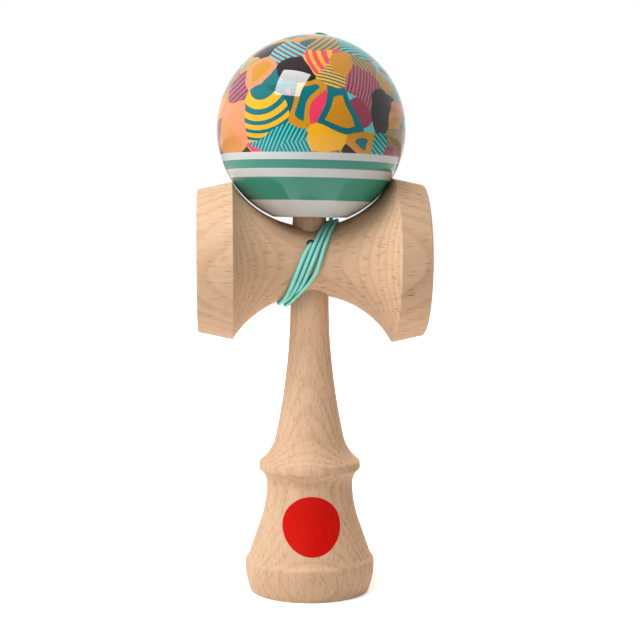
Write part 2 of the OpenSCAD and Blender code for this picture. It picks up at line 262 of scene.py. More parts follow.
def ken_radius(z, s):
    """Radius of the ken at each height over the lip of its base cup: the band's bulge, the shoulder or the
    flare, whichever is wider, the grip's arc, the ring between two coves, the hollow shaft, the taper and the
    spike."""
    tenon_z, spike_z = s["sarado_z"] - s["waist_d"] / 2, s["sarado_z"] + s["waist_d"] / 2
    band_mid = (s["band_r"] - BAND_CURVE, BAND_Z)
    band = circle_side(z, band_mid, BAND_CURVE, 1)
    edge_r = circle_side(BAND_EDGE_Z, band_mid, BAND_CURVE, 1)
    shoulder_mid = (edge_r - SHOULDER_CURVE * math.cos(SHOULDER_TILT),
                    BAND_EDGE_Z - SHOULDER_CURVE * math.sin(SHOULDER_TILT))
    shoulder = np.where(z < shoulder_mid[1] + SHOULDER_CURVE,
                        circle_side(z, shoulder_mid, SHOULDER_CURVE, 1), 0)
    lean = FLARE_ANGLE + FLARE_CREASE
    crease = (s["grip_r"] + FLARE_CURVE * (1 - math.cos(lean)), GRIP_Z - FLARE_CURVE * math.sin(lean))
    flare = np.where(z < crease[1], crease[0] + (crease[1] - z) * math.tan(FLARE_ANGLE),
                     circle_side(z, (s["grip_r"] + FLARE_CURVE, GRIP_Z), FLARE_CURVE, -1))
    bulge = circle_side(z, (s["ring_r"] - RING_CURVE, RING_Z), RING_CURVE, 1)
    cove = circle_side(z, (s["grip_r"] + RING_COVE, GRIP_Z), RING_COVE, -1)
    shaft_mid = s["tenon_low_r"] + SHAFT_CURVE
    neck_angle = math.asin((tenon_z - NECK_Z) / SHAFT_CURVE)
    neck_mid = (shaft_mid - SHAFT_CURVE * math.cos(neck_angle) + NECK_CURVE * math.cos(neck_angle),
                NECK_Z + NECK_CURVE * math.sin(neck_angle))
    neck = np.where(z > neck_mid[1] - NECK_CURVE, circle_side(z, neck_mid, NECK_CURVE, -1), s["ring_r"])
    shaft = circle_side(z, (shaft_mid, tenon_z), SHAFT_CURVE, -1)
    taper = np.interp(z, [tenon_z, spike_z, s["ken_h"] - POINT_H, s["ken_h"] - TIP_R],
                      [s["tenon_low_r"], s["tenon_top_r"], POINT_R, TIP_R])
    tip = circle_side(z, (0, s["ken_h"] - TIP_R), TIP_R, 1)
    past_ring = np.where(z > RING_Z + RING_TOP_SHARE * RING_CURVE, s["ring_r"], 0)
    return np.select(
        [z <= BAND_EDGE_Z, z <= GRIP_Z, z <= RING_Z, z <= NECK_Z, z <= tenon_z, z <= s["ken_h"] - TIP_R],
        [band, np.maximum(shoulder, flare), np.minimum(cove, bulge),
         np.minimum(neck, np.maximum(bulge, 0) + past_ring), shaft, taper], tip)


def build_ken(s):
    """The ken: the base cup's dish, its flat lip and the turned outline, carried round the upright axis."""
    cup_r = s["base_cup_d"] / 2
    dish_mid = -math.sqrt(BASE_DISH_CURVE ** 2 - cup_r ** 2)
    rim_angle = math.degrees(math.asin(-dish_mid / BASE_DISH_CURVE))
    z = np.arange(0, s["ken_h"], KEN_STEP)
    outline = np.concatenate([arc((0, dish_mid), BASE_DISH_CURVE, 90, rim_angle),
                              np.stack([ken_radius(z, s), z], -1), [[0, s["ken_h"]]]])
    outline = even_profile(outline, EDGE_EASE, KEN_SPACING)
    outline[[0, -1], 0] = 0
    return lathe("ken_turned", outline, KEN_SEGMENTS, lambda p: p)


# Cup piece

WAIST_SHIFT, SMALL_EDGE_R, BIG_EDGE_R = 0.55, 25.4, 26.65
LIP_W, LIP_CORNER, DISH_CURVE, TAPER_GAP = 2.3, 0.7, 28, 0.12
HOLE_R, HOLE_RISE, HOLE_X, HOLE_DEPTH = 1.25, 5.6, -0.2, 5.5
CUP_COLS, CUP_SPACING, SADDLE_POINTS = 280, 0.8, 600
SADDLE_FINE, SADDLE_FINE_REACH, SADDLE_FINE_R = 0.34, 13, (11, 15)
SADDLE_TOP_R, SADDLE_HALF = 16, 20
# Openings: half widths in rows and columns, bevel, share inside the wall, fade outside and rate of the bevel
BORE_HALF, BORE_BEVEL, BORE_INNER, BORE_FADE, BORE_BEVEL_RATE = (18, 24), 0.25, 0.5, 0.35, 8
HOLE_HALF, HOLE_BEVEL, HOLE_INNER, HOLE_FADE, HOLE_BEVEL_RATE = (5, 7), 0.15, 0.4, 0.8, 6
INNER_SLACK, TINY = 0.001, 1e-9
MERGE_GRID, MERGE_SHIFT = 1000, 0.123


def saddle_r(x, s):
    """Radius of the saddle at a place along the cup piece's axis."""
    middle = s["waist_d"] / 2 + s["saddle_curve"]
    return middle - np.sqrt(s["saddle_curve"] ** 2 - (x - WAIST_SHIFT) ** 2)


def saddle_reach(r, s):
    """Distance from the waist at which the saddle has a radius."""
    middle = s["waist_d"] / 2 + s["saddle_curve"]
    return math.sqrt(s["saddle_curve"] ** 2 - (middle - r) ** 2)


def cup_outline(s):
    """Outline of the cup piece as radius and place along its axis: dish, lip, cone, saddle, cone, lip and
    dish."""
    parts = []
    small = (-1, s["small_reach"], s["small_rim_d"] / 2)
    big = (1, s["big_reach"], s["big_rim_d"] / 2)
    for side, reach, rim_r in (small, big):
        open_r = rim_r - LIP_W
        away = math.sqrt(DISH_CURVE ** 2 - open_r ** 2)
        lean = math.degrees(math.acos(open_r / DISH_CURVE))
        dish = arc((0, 0), DISH_CURVE, 90, lean)
        dish = np.stack([dish[:, 0], side * (reach + away - dish[:, 1])], -1)
        corner = arc((rim_r - LIP_CORNER, reach - LIP_CORNER), LIP_CORNER, 90, 0)
        corner = np.stack([corner[:, 0], side * corner[:, 1]], -1)
        parts.append(np.concatenate([dish, corner]))
    low = -saddle_reach(SMALL_EDGE_R, s) + WAIST_SHIFT
    top = saddle_reach(BIG_EDGE_R, s) + WAIST_SHIFT
    x = np.linspace(low, top, SADDLE_POINTS)
    return np.concatenate([parts[0], np.stack([saddle_r(x, s), x], -1), parts[1][::-1]])


def opening(rows, cols, middle, half, bevel, inner, fade, rate):
    """A window of the grid round an opening. For each grid point: its direction from the middle, its share of
    the window, how far down the wall it lies, the bevel there and the fade to the plain surface."""
    i, j = np.meshgrid(np.arange(rows), np.arange(cols), indexing="ij")
    a = (i - middle[0]) / half[0]
    b = ((j - middle[1] + cols // 2) % cols - cols // 2) / half[1]
    m = np.maximum(np.abs(a), np.abs(b))
    norm = np.maximum(np.hypot(a, b), TINY)
    wall = np.clip((1 - m) / (1 - inner), 0, 1)
    return a / norm, b / norm, m, wall, bevel * np.clip(1 - rate * wall, 0, 1), ease((m - 1) / fade)


def build_sarado(s):
    """The cup piece: its outline carried round the X axis, with the grid drawn into circles round the tapered
    bore and the string hole, whose walls are the grid's own inner rings."""
    def spacing(p):
        place, r = np.abs(p[:, 1]), p[:, 0]
        fine = (place < SADDLE_FINE_REACH) & (r < SADDLE_FINE_R[1]) & (r > SADDLE_FINE_R[0])
        return np.where(fine, SADDLE_FINE, CUP_SPACING)

    cols, zs = CUP_COLS, s["sarado_z"]
    outline = even_profile(cup_outline(s), EDGE_EASE, spacing)
    outline[[0, -1], 0] = 0
    body = outline[1:-1]
    rows = len(body)
    t = np.arange(cols) * TURN / cols
    r, x = body[:, :1], np.repeat(body[:, 1:], cols, 1)
    y, z = -r * np.cos(t), zs + r * np.sin(t)
    saddle = np.abs(body[:, 1]) < SADDLE_FINE_REACH
    keep = np.ones((rows, cols), bool)

    def nearest_row(place):
        on_saddle = saddle & (body[:, 0] < SADDLE_TOP_R)
        return int(np.argmin(np.where(on_saddle, np.abs(body[:, 1] - place), np.inf)))

    def saddle_square(place):
        return saddle_r(np.clip(place, -SADDLE_HALF, SADDLE_HALF), s) ** 2

    half_taper = (s["tenon_low_r"] + s["tenon_top_r"]) / 2 + TAPER_GAP
    for side, bore_r, col in ((1, s["tenon_top_r"], cols // 4), (-1, s["tenon_low_r"], 3 * cols // 4)):
        a, b, m, wall, bevel, blend = opening(rows, cols, (nearest_row(0), col), BORE_HALF, BORE_BEVEL,
                                              BORE_INNER, BORE_FADE, BORE_BEVEL_RATE)
        near = (m < 1 + BORE_FADE) & saddle[:, None]
        rim_r = bore_r + TAPER_GAP
        radius = np.where(m >= 1, (rim_r + BORE_BEVEL) * m, rim_r + (half_taper - rim_r) * wall + bevel)
        nx = radius * a * (1 - blend) + x * blend
        ny = side * radius * b * (1 - blend) + y * blend
        rise = np.sqrt(np.maximum(0, saddle_square(nx) - ny ** 2))
        nz = zs + side * rise * np.where(m >= 1, 1, 1 - wall)
        x, y, z = np.where(near, nx, x), np.where(near, ny, y), np.where(near, nz, z)
        keep &= ~((m < BORE_INNER - INNER_SLACK) & saddle[:, None])

    hole_turn = math.asin(HOLE_RISE / float(saddle_r(HOLE_X, s)))
    hole_at = (nearest_row(HOLE_X), round(hole_turn * cols / TURN))
    a, b, m, wall, bevel, blend = opening(rows, cols, hole_at, HOLE_HALF, HOLE_BEVEL, HOLE_INNER, HOLE_FADE,
                                          HOLE_BEVEL_RATE)
    near = (m < 1 + HOLE_FADE) & saddle[:, None]
    radius = np.where(m >= 1, (HOLE_R + HOLE_BEVEL) * m, HOLE_R * np.clip(m / HOLE_INNER, 0, 1) + bevel)
    nx = (HOLE_X + radius * a) * (1 - blend) + x * blend
    nz = (zs + HOLE_RISE + radius * b) * (1 - blend) + z * blend
    ny = -np.sqrt(np.maximum(1, saddle_square(nx) - (nz - zs) ** 2)) + HOLE_DEPTH * wall
    x, y, z = np.where(near, nx, x), np.where(near, ny, y), np.where(near, nz, z)

    points = np.concatenate([np.stack([x, y, z], -1).reshape(-1, 3),
                             [[outline[0, 1], 0, zs], [outline[-1, 1], 0, zs]]])
    quads = grid_faces(rows, cols, False, True)
    quads = quads[keep.ravel()[quads].all(1)]
    fans = end_fans(rows * cols, rows, cols)
    wanted = np.unique(np.concatenate([quads.ravel(), fans.ravel()]))
    same = np.rint(points[wanted] * MERGE_GRID + MERGE_SHIFT).astype(int)
    _, first, back = np.unique(same, axis=0, return_index=True, return_inverse=True)
    merged = np.arange(len(points))
    merged[wanted] = wanted[first][back.ravel()]
    return make_piece("sarado_turned", points, merged[quads], merged[fans])


# Ball and bead

HOLE_D, MOUTH_D, HOLE_LENGTH, DRILL_ANGLE = 19.5, 23.6, 43, math.radians(118)
CORD_BORE_R, SINK_R = 1.7, 3.0
BEAD_BORE_R, BEAD_GAP = 1.0, 0.35
BALL_EASE, BALL_SPACING, BALL_SEGMENTS = 0.14, 0.7, 200
BEAD_EASE, BEAD_SPACING, BEAD_SEGMENTS = 0.1, 0.35, 64


def ball_place(s):
    """A function that moves points from the ball's own frame to its seat: up by its rise, then leaning about
    the middle of the cup piece."""
    c, n = math.cos(s["ball_lean"]), math.sin(s["ball_lean"])
    turn = np.array([[c, 0, n], [0, 1, 0], [-n, 0, c]])
    return lambda p: (np.asarray(p) + [0, 0, s["ball_rise"]]) @ turn.T + [0, 0, s["sarado_z"]]


def ball_marks(s):
    """The ball's radius, and heights in its own frame: its mouth, the end of the straight hole, the drilled
    point and the bead's middle."""
    r = s["ball_d"] / 2
    mouth = -math.sqrt(r ** 2 - (MOUTH_D / 2) ** 2)
    end = mouth + HOLE_LENGTH
    point = end + HOLE_D / 2 / math.tan(DRILL_ANGLE / 2)
    bead = point - (s["bead_d"] / 2 + BEAD_GAP) / math.sin(DRILL_ANGLE / 2)
    return r, mouth, end, point, bead


def build_ball(s):
    """The ball: half a circle from the sink of its string bore to its mouth, the bevel, the spike hole with
    its drilled end and the bore, carried round its own axis as one closed outline."""
    r, mouth, end, point, _ = ball_marks(s)
    top_angle = math.degrees(math.acos(SINK_R / r))
    low_angle = -math.degrees(math.acos(MOUTH_D / 2 / r))
    hole_r = HOLE_D / 2
    inner = point - CORD_BORE_R / math.tan(DRILL_ANGLE / 2)
    outline = np.concatenate([arc((0, 0), r, top_angle, low_angle),
                              [[hole_r, mouth + MOUTH_D / 2 - hole_r], [hole_r, end], [CORD_BORE_R, inner],
                               [CORD_BORE_R, r - SINK_R + CORD_BORE_R]]])
    outline = even_profile(outline, BALL_EASE, BALL_SPACING, True)
    return lathe("tama_lacquered", outline, BALL_SEGMENTS, ball_place(s), True)


def build_bead(s):
    """The bead: a circle's arc between the two ends of its bore, carried round the ball's axis."""
    bead = ball_marks(s)[-1]
    radius = s["bead_d"] / 2
    edge = math.degrees(math.acos(BEAD_BORE_R / radius))
    outline = even_profile(arc((0, bead), radius, edge, -edge), BEAD_EASE, BEAD_SPACING, True)
    return lathe("bead_turned", outline, BEAD_SEGMENTS, ball_place(s), True)


# String

PITCH_SHARE, TURN_SHARE, MIDDLE_TURN = 1.01, 0.99, 1.5
FRONT_MID, TOP_MID, LOW_MID = -0.6, 7.1, -8.2
FIRST_ANGLE, LAST_ANGLE, ANGLE_STEP = 8.0, -1260.0, 3.0
STACK_ANGLE, STACK_REACH, STACK_SHIFT, STACK_LIFT = -1172.0, 78.0, -2.25, 1.3
BOW_ANGLE, BOW_REACH, BOW_SHIFT = -1098.0, 45.0, 0.75
HOLE_MOUTH_Y, LEAD_REACH, LEAD_POINTS = -8.9, 2.6, 8
RUN_LOW, RUN_TOP, RUN_GAP, RUN_POINTS = np.radians([100, 60]), np.radians([11, 40]), 0.03, 60
RUN_SIDE = (math.sin(RUN_LOW[1]), -math.cos(RUN_LOW[1]), 0)
RISE_SHARE, RISE_POINTS, BEND_POINTS = 3, 40, 24
SINK_DEPTH, DIP_REACH, TAIL_GAP, TAIL_POINTS = 1.2, 2.2, 0.1, 12
PATH_STEP, PATH_BELL = 0.5, np.hanning(11)[1:-1]
TUBE_SIDES, TUBE_STEP = 24, 0.15
# BRAID_SHARE and CAP_SHADE set the painted shade of the braid's grooves and of the end caps.
BRAID_YARNS, BRAID_STEP, BRAID_DEPTH, BRAID_SHARE, CAP_SHADE = 4, 8.0, 0.06, 0.4, 0.5
YARN_LEVEL, YARN_SWING = 0.65, 0.35
KNOT_Y, ANCHOR_KNOT_D, BEAD_KNOT_D, KNOT_CORDS = 3.8, 3.6, 3.0, 7
KNOT_OPEN, KNOT_POINTS, KNOT_SIDES, KNOT_STEP, TREFOIL_REACH = 0.1, 160, 12, 0.12, 3


def winding_points(angle, s):
    """Points of the winding at angles about the cup piece's axis, 0 at the front. Each pass swings left under
    the waist and right over it, the turns lie side by side, and the last one rides up on the others by the
    shaft."""
    turn = np.radians(angle)
    wave = np.arcsin(TURN_SHARE * np.sin(turn)) / math.asin(TURN_SHARE)
    across = FRONT_MID + (TOP_MID - LOW_MID) / 2 * wave + ((TOP_MID + LOW_MID) / 2 - FRONT_MID) * wave ** 2
    slope = np.cos(turn) * (TOP_MID - LOW_MID) / s["waist_d"]
    count = -angle / 360 - MIDDLE_TURN
    stack = ease(1 - np.abs(angle - STACK_ANGLE) / STACK_REACH)
    bow = ease(1 - np.abs(angle - BOW_ANGLE) / BOW_REACH)
    x = across + count * s["cord_d"] * PITCH_SHARE * np.sqrt(1 + slope ** 2)
    x = x + STACK_SHIFT * stack + BOW_SHIFT * bow
    lay = s["saddle_curve"] - s["cord_d"] / 2
    r = s["waist_d"] / 2 + s["saddle_curve"] - np.sqrt(lay ** 2 - (x - WAIST_SHIFT) ** 2) + STACK_LIFT * stack
    return np.stack([x, -r * np.cos(turn), s["sarado_z"] + r * np.sin(turn)], -1)


def bend(p, pw, q, qw, reach, count=BEND_POINTS):
    """Points of a cubic curve between two points with their directions."""
    u = np.linspace(0, 1, count)[:, None]
    return ((1 - u) ** 3 * p + 3 * u * (1 - u) ** 2 * (p + pw * reach)
            + 3 * u * u * (1 - u) * (q - qw * reach) + u ** 3 * q)


def unit(v):
    """A vector of length 1."""
    return v / np.linalg.norm(v)


def string_routes(s):
    """The two stretches of the string: from the knot through the hole and round the waist, and from there up
    behind the ball, over its top and down its bore to the bead."""
    place = ball_place(s)
    hole_z = s["sarado_z"] + HOLE_RISE
    wound = winding_points(np.arange(FIRST_ANGLE, LAST_ANGLE - 1, -ANGLE_STEP), s)
    start = np.array([HOLE_X, KNOT_Y - ANCHOR_KNOT_D / 2, hole_z])
    leave = np.array([HOLE_X, HOLE_MOUTH_Y, hole_z])
    lead = bend(leave, np.array([0, -1.0, 0]), wound[0], unit(wound[1] - wound[0]), LEAD_REACH)
    straight = start + (leave - start) * np.linspace(0, 1, LEAD_POINTS)[:, None]
    route = np.concatenate([straight[:-1], lead[:-1], wound])
    r, *_, bead = ball_marks(s)
    over = r + s["cord_d"] / 2 + RUN_GAP
    polar = RUN_LOW + (RUN_TOP - RUN_LOW) * np.linspace(0, 1, RUN_POINTS)[:, None]
    run = place(over * np.stack([np.sin(polar[:, 0]) * np.cos(polar[:, 1]),
                                 np.sin(polar[:, 0]) * np.sin(polar[:, 1]), np.cos(polar[:, 0])], -1))
    sink, low = place([[0, 0, r - SINK_DEPTH], [0, 0, bead - s["bead_d"] / 2 - TAIL_GAP]])
    way = unit(wound[-1] - wound[-2])
    rise = bend(wound[-1], way, run[0], unit(run[1] - run[0]), r / RISE_SHARE, RISE_POINTS)
    dip = bend(run[-1], unit(run[-1] - run[-2]), sink, unit(low - sink), DIP_REACH)
    tail = sink + (low - sink) * np.linspace(0, 1, TAIL_POINTS)[:, None]
    return route, np.concatenate([rise[:-1], run[:-1], dip[:-1], tail])


def even_path(path, step):
    """A path walked at even steps."""
    run = run_lengths(path)
    at = np.linspace(0, run[-1], int(run[-1] / step) + 1)
    return points_at(at, run, path), at


def path_frames(path, side):
    """Two sideways directions at each point: one square to the path and to a fixed direction that the path
    never follows, and one square to the path and to the first."""
    way = np.gradient(path, axis=0)
    way /= np.linalg.norm(way, axis=1)[:, None]
    first = np.cross(way, side)
    first /= np.linalg.norm(first, axis=1)[:, None]
    return first, np.cross(way, first)


def braid_height(turn, run):
    """Height of a plaited surface from 0 to 1: two sets of yarns wind against each other, and each in turn
    rides over the other."""
    left, right = BRAID_YARNS * turn + BRAID_STEP * run, BRAID_YARNS * turn - BRAID_STEP * run
    return np.maximum(np.cos(left / 2) ** 2 * (YARN_LEVEL + YARN_SWING * np.cos(right)),
                      np.cos(right / 2) ** 2 * (YARN_LEVEL - YARN_SWING * np.cos(left)))


def braided_tube(name, path, radius, side, core, run_start=0.0, sides=TUBE_SIDES, step=TUBE_STEP):
    """A round tube along a path, its radius raised and lowered by the braid, closed at both ends. Its braid
    value is painted shade: 1 on the crests, less in the grooves, and 0 where it faces the core that it lies
    on."""
    path, run = even_path(path, step)
    u, v = path_frames(path, side)
    t = np.arange(sides) * TURN / sides
    height = braid_height(t[None, :], run[:, None] + run_start)
    r = radius * (1 - BRAID_DEPTH * (1 - height))
    spoke = np.cos(t)[None, :, None] * u[:, None] + np.sin(t)[None, :, None] * v[:, None]
    grid = path[:, None] + r[..., None] * spoke
    away = core(path)
    away /= np.linalg.norm(away, axis=1)[:, None]
    facing_out_unshaded = ease(np.einsum("nk,nsk->ns", away, spoke))
    rows = len(path)
    points = np.concatenate([grid.reshape(-1, 3), path[[0, -1]]])
    fans = end_fans(rows * sides, rows, sides)
    piece = make_piece(name, points, grid_faces(rows, sides, False, True), fans, NO_EDGES)
    # Painted shade: darker in the braid's grooves, on the end caps and on the side facing the core.
    shade = (facing_out_unshaded * (1 - BRAID_SHARE * (1 - height))).ravel()
    shade = np.concatenate([shade, [CAP_SHADE, CAP_SHADE]]).astype(np.float32)
    piece.data.attributes.new("braid", "FLOAT", "POINT").data.foreach_set("value", shade)
    return piece, path * MM, run[-1] * MM


def knot_path(size, cord_r):
    """A trefoil: a curve that winds twice round and swings in and out three times, opened at one place."""
    t = np.linspace(KNOT_OPEN, TURN - KNOT_OPEN, KNOT_POINTS)
    flat = np.stack([np.sin(t) + 2 * np.sin(2 * t), np.cos(t) - 2 * np.cos(2 * t), -np.sin(3 * t)], -1)
    return flat * (size / 2 - cord_r) / TREFOIL_REACH


# Finishes

WHITE, BLACK, MID_GREY = (1, 1, 1, 1), (0, 0, 0, 1), (0.5, 0.5, 0.5)
NOISE_MID = (0.3, 0.7)
# Wood: scales are along and across the grain, spans are low and high ends of a noise
WANDER_SCALE, WANDER_REACH = (9.0, 26.0), 0.007
STREAK_SCALE, STREAK_SPAN, STREAK_SHARE = (60.0, 900.0), (0.35, 0.7), 0.3
CLOUD_SCALE, CLOUD_SPAN = (10.0, 70.0), (0.3, 0.75)
RAGGED, RAGGED_SPAN = 0.0002, (0.2, 0.8)
RING_STOPS, RING_SHARES = ((0.0, 0.05), (0.5, 0.25), (0.9, 1.0), (1.0, 0.05)), (0.25, 0.68)
PORE_SPAN, PORE_FADE, PORE_SHARES, PORE_MIX = (0.36, 0.2), 0.02, (0.45, 0.95), 0.64
WOOD_ROUGH, WOOD_SHINE, WOOD_BUMP, STREAK_HEIGHT, PORE_HEIGHT = (0.5, 0.62), 0.12, (0.00012, 0.55), 0.35, 0.9
KEN_GRAIN, KEN_PITH, KEN_RINGS, KEN_PORES = 2, (0.003, 0.04, 0), 600.0, ((0.0003, 0.0018, 0.0028), 0.62)
CUP_GRAIN, CUP_PITH, CUP_RINGS, CUP_PORES = 0, (0, 0.05, 0.1077), 450.0, ((0.0044, 0.0035, 0.0004), 0.42)
DISC_X, DISC_Z = -0.0003, 0.0238
INK_EDGE, INK_SPAN, INK_MOTTLE, INK_DARK, INK_PORE, INK_GLOSS = 0.00012, (0.3, 0.75), 0.28, 0.62, 0.15, 0.15
# Ball: colours of the patches, their pattern, and the heights where the stripes begin, from below
PATCH_COLOURS = (
    (0.0, 0.15, 0.17), (0.6, 0.25, 0.01), (0.83, 0.045, 0.11), (0.09, 0.55, 0.5), (0.78, 0.27, 0.12),
    (0.9, 0.42, 0.012), (0.3, 0.035, 0.07), (0.6, 0.25, 0.01), (0.0, 0.15, 0.17), (0.0, 0.1, 0.12),
)
GROUND, SECOND_STEP = (0.012, 0.005, 0.004, 1), 3
PATTERN_SHIFT, PAINT_LEAN = (0.05, 0.02, 0.01), math.radians(0.29)
SWAY_SCALE, SWAY_REACH, CELL_SCALE, CELL_RANDOM = 62.0, 0.012, 104.0, 0.9
LINES, LINE_SHARE, LINED_OVER, INSIDE_UNDER, INSIDE_EDGE, GROUND_OVER = 900.0, 0.55, 0.52, 0.4, 0.2, 0.87
STRIPE_HEIGHTS, PATCH_HEIGHT = (-23.0, -16.14, -13.3, -10.82), -8.5
LACQUER_WAVE, LACQUER_ROUGH, LACQUER_BUMP = 90.0, (0.24, 0.32), (0.0004, 0.06)
COAT_ROUGH, COAT_IOR = 0.03, 1.45
# String and bead
FIBRE_SCALE, FIBRE_SHARE, FIBRE_ROUGH, FIBRE_BUMP = 5200.0, 0.15, (0.36, 0.52), (0.0001, 0.5)
FADE_SCALE, FADE_SPAN, FADE_SHARE, FADE_COLOUR = 240.0, (0.4, 0.75), 0.22, (0.2, 0.7, 0.6, 1)
CREST_SPAN, STRING_SHEEN, SHEEN_ROUGH, STRING_SHINE = (0.1, 0.9), 0.04, 0.4, 0.5
BEAD_SCALE, BEAD_SHARE, BEAD_DARK = (400, 400, 2600), 0.6, 0.7
BEAD_ROUGH, BEAD_BUMP = (0.45, 0.6), (0.0001, 0.4)


def darker(tint, share):
    """A colour with its red, green and blue lowered to a share."""
    return tuple(v * share for v in tint[:3]) + (1.0,)


class Finish:
    """A material, or a world, whose nodes are added one call at a time."""

    def __init__(self, name, kind="materials", shader="BSDF_PRINCIPLED"):
        self.owner = getattr(bpy.data, kind).new(name)
        self.owner.use_nodes = True
        self.nodes, self.links = self.owner.node_tree.nodes, self.owner.node_tree.links
        self.shader = next(n for n in self.nodes if n.type == shader)

    def add(self, kind, inputs=None, **settings):
        """A node with its settings, and values or links on its inputs by name or number."""
        node = self.nodes.new("ShaderNode" + kind)
        for key, value in settings.items():
            setattr(node, key, value)
        for key, value in (inputs or {}).items():
            self.put(node.inputs[key], value)
        return node

    def put(self, socket, value):
        """Links an output to a socket, or sets its value."""
        if isinstance(value, bpy.types.NodeSocket):
            self.links.new(value, socket)
        else:
            socket.default_value = value

    def math(self, operation, a, b=0.0, c=0.0):
        """One sum on numbers."""
        return self.add("Math", {0: a, 1: b, 2: c}, operation=operation).outputs[0]

    def vector(self, operation, a, b=None, scale=None):
        """One sum on vectors, as a number where it gives one."""
        inputs = {0: a, 1: b, "Scale": scale}
        node = self.add("VectorMath", {k: v for k, v in inputs.items() if v is not None}, operation=operation)
        return node.outputs["Value" if operation in ("LENGTH", "DOT_PRODUCT") else "Vector"]

    def noise(self, at, scale=1.0, detail=2.0, rough=0.5, output="Fac"):
        """A cloudy pattern from 0 to 1."""
        inputs = {"Vector": at, "Scale": scale, "Detail": detail, "Roughness": rough}
        return self.add("TexNoise", inputs).outputs[output]

    def mix(self, share, a, b):
        """A colour between two others."""
        return self.add("Mix", {"Factor": share, 6: a, 7: b}, data_type="RGBA").outputs[2]

    def ramp(self, value, stops, steps="LINEAR"):
        """A colour ramp with stops of place and colour."""
        node = self.add("ValToRGB", {0: value})
        node.color_ramp.interpolation = steps
        node.color_ramp.elements.remove(node.color_ramp.elements[1])
        first = node.color_ramp.elements[0]
        first.position, first.color = stops[0]
        for place, tint in stops[1:]:
            node.color_ramp.elements.new(place).color = tint
        return node.outputs[0]

    def span(self, value, low, high, to_low=0.0, to_high=1.0):
        """A number moved from one span to another, held at its ends."""
        return self.add("MapRange", {0: value, 1: low, 2: high, 3: to_low, 4: to_high}).outputs[0]

    def here(self, place=(0, 0, 0), scale=(1, 1, 1)):
        """Object coordinates, scaled and moved."""
        at = self.add("TexCoord").outputs["Object"]
        return self.add("Mapping", {"Vector": at, "Location": place, "Scale": scale}).outputs[0]

    def set(self, **values):
        """Values or links on the shader's own sockets."""
        for key, value in values.items():
            self.put(self.shader.inputs[key.replace("_", " ")], value)

    def bump(self, height, distance, strength):
        """A bump from a height."""
        return self.add("Bump", {"Height": height, "Distance": distance, "Strength": strength}).outputs[0]

    def surface(self, tint, noise, rough, bump):
        """The shader's colour, with its roughness and bump from one noise."""
        self.set(Base_Color=tint, Roughness=self.span(noise, *NOISE_MID, *rough),
                 Normal=self.bump(noise, *bump))

    def watched(self):
        """1 for rays from the camera and for mirrored or passing rays, 0 for the rest."""
        path = self.add("LightPath").outputs
        seen = self.math("MAXIMUM", path["Is Camera Ray"], path["Is Glossy Ray"])
        return self.math("MAXIMUM", seen, path["Is Transmission Ray"])


def beech(name, grain, pith, rings, pore, c, disc=None):
    """Steamed beech, bare and sanded. Growth rings lie round a line along the grain, off to one side, and are
    drawn as soft darker lines. Short brown pores run along the grain. A disc is printed on the front."""
    f = Finish(name)

    def by_grain(along, across):
        return tuple(along if k == grain else across for k in range(3))

    at = f.here()
    wander = f.noise(f.here(scale=by_grain(*WANDER_SCALE)), rough=0.45, output="Color")
    off = f.vector("SCALE", f.vector("SUBTRACT", wander, MID_GREY), scale=WANDER_REACH)
    moved = f.vector("ADD", f.vector("ADD", at, off), tuple(-v for v in pith))
    away = f.vector("LENGTH", f.vector("MULTIPLY", moved, by_grain(0.0, 1.0)))
    streak = f.noise(f.here(scale=by_grain(*STREAK_SCALE)), detail=4.0, rough=0.6)
    ragged = f.span(streak, *RAGGED_SPAN, -RAGGED, RAGGED)
    ring = f.math("FRACT", f.math("MULTIPLY", f.math("ADD", away, ragged), rings))
    late = f.ramp(ring, [(place, (v, v, v, 1)) for place, v in RING_STOPS])
    cloud = f.noise(f.here(scale=by_grain(*CLOUD_SCALE)), detail=3.0, rough=0.55)
    share = f.math("MULTIPLY", late, f.span(cloud, *CLOUD_SPAN, *RING_SHARES))
    tint = f.mix(share, c["beech_pale"], c["beech_dark"])
    tint = f.mix(f.span(streak, *STREAK_SPAN, 0.0, STREAK_SHARE), tint, c["beech_dark"])
    pore_size, pore_share = pore
    pore_at = f.here(scale=tuple(1 / v for v in pore_size))
    pores = f.add("TexVoronoi", {"Vector": pore_at, "Scale": 1.0, "Randomness": 1.0})
    few = f.add("SeparateColor", {0: pores.outputs["Color"]}).outputs[0]
    fleck = f.math("MULTIPLY", f.span(pores.outputs["Distance"], *PORE_SPAN),
                   f.span(few, 1 - pore_share, 1 + PORE_FADE - pore_share))
    depth = f.math("MULTIPLY", fleck, f.span(cloud, *NOISE_MID, *PORE_SHARES))
    tint = f.mix(f.math("MULTIPLY", depth, PORE_MIX), tint, c["pore"])
    rough = f.span(streak, *NOISE_MID, *WOOD_ROUGH)
    if disc:
        x, z, radius = disc
        axes = f.add("SeparateXYZ", {0: at}).outputs
        across, rise = f.math("SUBTRACT", axes[0], x), f.math("SUBTRACT", axes[2], z)
        from_middle = f.vector("LENGTH", f.add("CombineXYZ", {0: across, 1: rise}).outputs[0])
        printed = f.math("MULTIPLY", f.span(from_middle, radius, radius - INK_EDGE),
                         f.math("LESS_THAN", axes[1], 0.0))
        mottle = f.span(streak, *INK_SPAN, 0.0, INK_MOTTLE)
        ink = f.mix(mottle, c["disc_red"], darker(c["disc_red"], INK_DARK))
        ink = f.mix(f.math("MULTIPLY", fleck, INK_PORE), ink, c["pore"])
        tint = f.mix(printed, tint, ink)
        rough = f.math("SUBTRACT", rough, f.math("MULTIPLY", printed, INK_GLOSS))
    sunk = f.math("MULTIPLY", fleck, PORE_HEIGHT)
    height = f.math("SUBTRACT", f.math("MULTIPLY", streak, STREAK_HEIGHT), sunk)
    f.set(Base_Color=tint, Roughness=rough, Normal=f.bump(height, *WOOD_BUMP), Specular_IOR_Level=WOOD_SHINE)
    return f.owner


